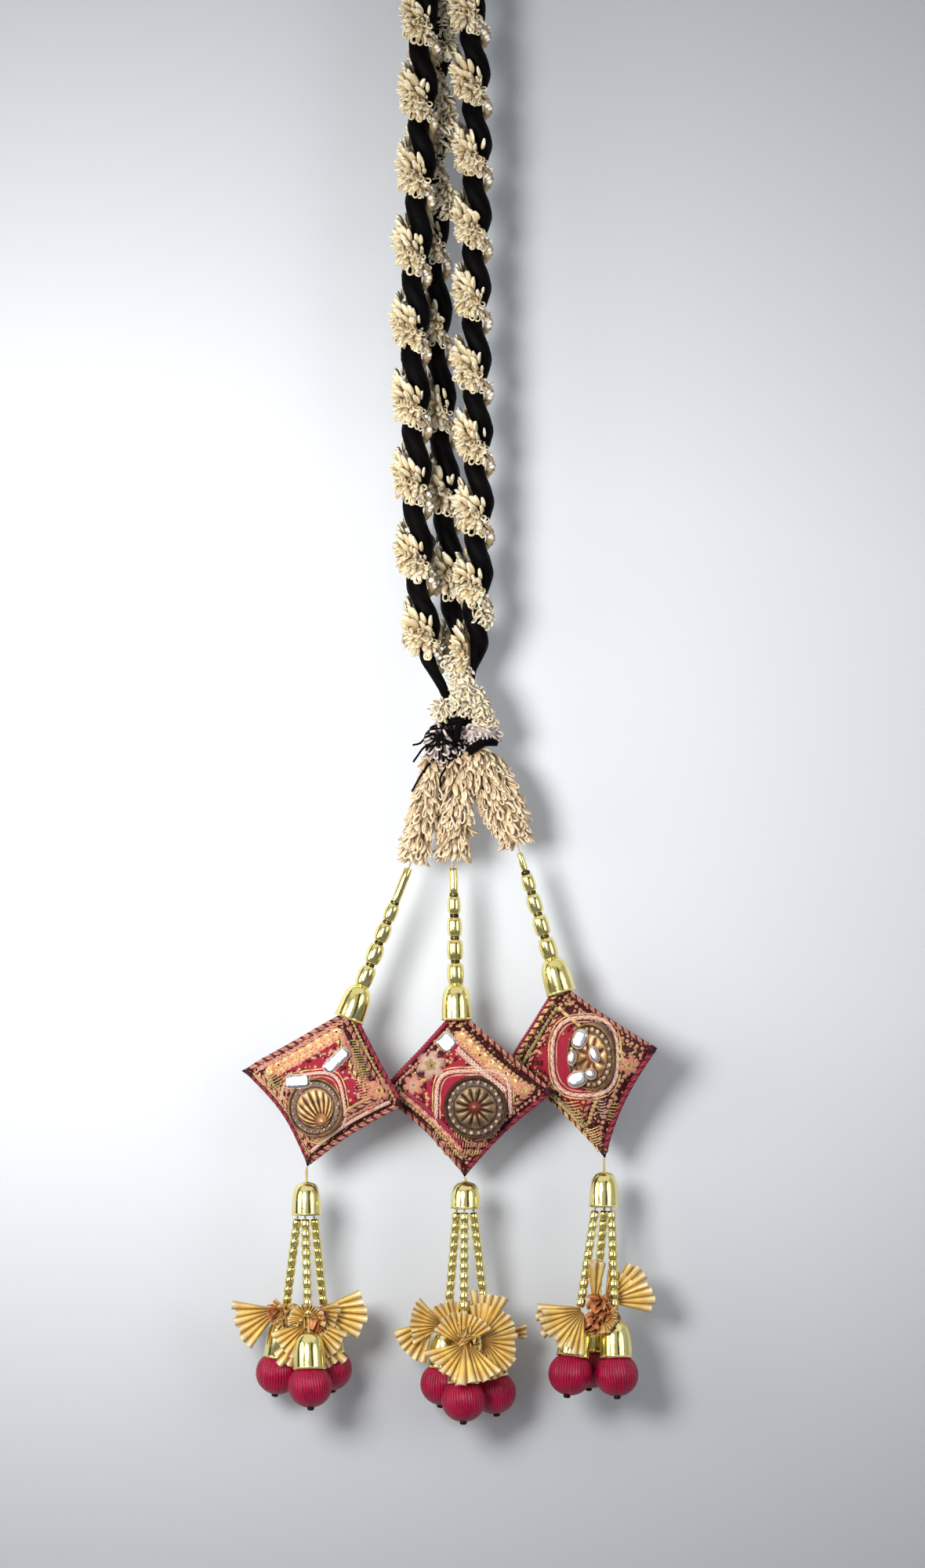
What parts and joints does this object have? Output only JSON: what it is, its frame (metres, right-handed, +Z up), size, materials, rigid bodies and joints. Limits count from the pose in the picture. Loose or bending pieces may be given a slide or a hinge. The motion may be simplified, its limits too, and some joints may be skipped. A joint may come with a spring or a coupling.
{
  "type": "paranda hair ornament",
  "caption": "Hair ornament of black cords wound with gold lace, gathered in a knot above gota tassels, bead strings, embroidered square cushions and beaded thread-ball drops.",
  "frame": {"origin": "inner top of the hanging loop's eye, where the ornament hangs", "axes": "+Z up, -Y out of the front with the medallions, +X to the right seen from the front"},
  "size_m": [0.137, 0.0329, 0.5126],
  "materials": {
    "black_thread": "matte twisted thread",
    "gold_lace": "looped metallic lace",
    "gota_loops": "pale metallic ribbon loops",
    "gold_thread": "pale twisted thread",
    "gold_bead": "polished gold plate",
    "gold_cap": "polished gold plate",
    "brocade": "crimson brocade with gold and pink work",
    "medallion_gold": "stamped antique gold",
    "mirror_glass": "small flat mirrors",
    "orange_gota": "pleated metallic ribbon",
    "crimson_thread": "wound shiny thread"
  },
  "bodies": {
    "root": {"hanging_loop": "black_thread", "knot_core": "gota_loops", "knot_thread": "black_thread", "cord_left": "black_thread", "cord_middle": "black_thread", "cord_right": "black_thread", "lace_left": "gold_lace", "lace_middle": "gold_lace", "lace_right": "gold_lace", "gota_tassel_left": "gota_loops", "gota_tassel_middle": "gota_loops", "gota_tassel_right": "gota_loops", "bead_thread_left": "gold_thread", "bead_thread_middle": "gold_thread", "bead_thread_right": "gold_thread", "bead_string_left": "gold_bead", "bead_string_middle": "gold_bead", "bead_string_right": "gold_bead", "cushion_cap_left": "gold_cap", "cushion_cap_middle": "gold_cap", "cushion_cap_right": "gold_cap", "cushion_left": "brocade", "cushion_middle": "brocade", "cushion_right": "brocade", "medallion_left": "medallion_gold", "medallion_middle": "medallion_gold", "medallion_right": "medallion_gold", "tassel_cap_left": "gold_cap", "tassel_cap_middle": "gold_cap", "tassel_cap_right": "gold_cap", "tassel_threads_left": "gold_thread", "tassel_threads_middle": "gold_thread", "tassel_threads_right": "gold_thread", "tassel_beads_left": "gold_bead", "tassel_beads_middle": "gold_bead", "tassel_beads_right": "gold_bead", "ball_caps_left": "gold_cap", "ball_caps_middle": "gold_cap", "ball_caps_right": "gold_cap", "gota_flower_left_1": "orange_gota", "gota_flower_left_2": "orange_gota", "gota_flower_left_3": "orange_gota", "gota_flower_middle_1": "orange_gota", "gota_flower_middle_2": "orange_gota", "gota_flower_middle_3": "orange_gota", "gota_flower_right_1": "orange_gota", "gota_flower_right_2": "orange_gota", "gota_flower_right_3": "orange_gota", "ball_left_1": "crimson_thread", "ball_left_2": "crimson_thread", "ball_left_3": "crimson_thread", "ball_middle_1": "crimson_thread", "ball_middle_2": "crimson_thread", "ball_middle_3": "crimson_thread", "ball_right_1": "crimson_thread", "ball_right_2": "crimson_thread", "ball_right_3": "crimson_thread"}
  },
  "joints": []
}
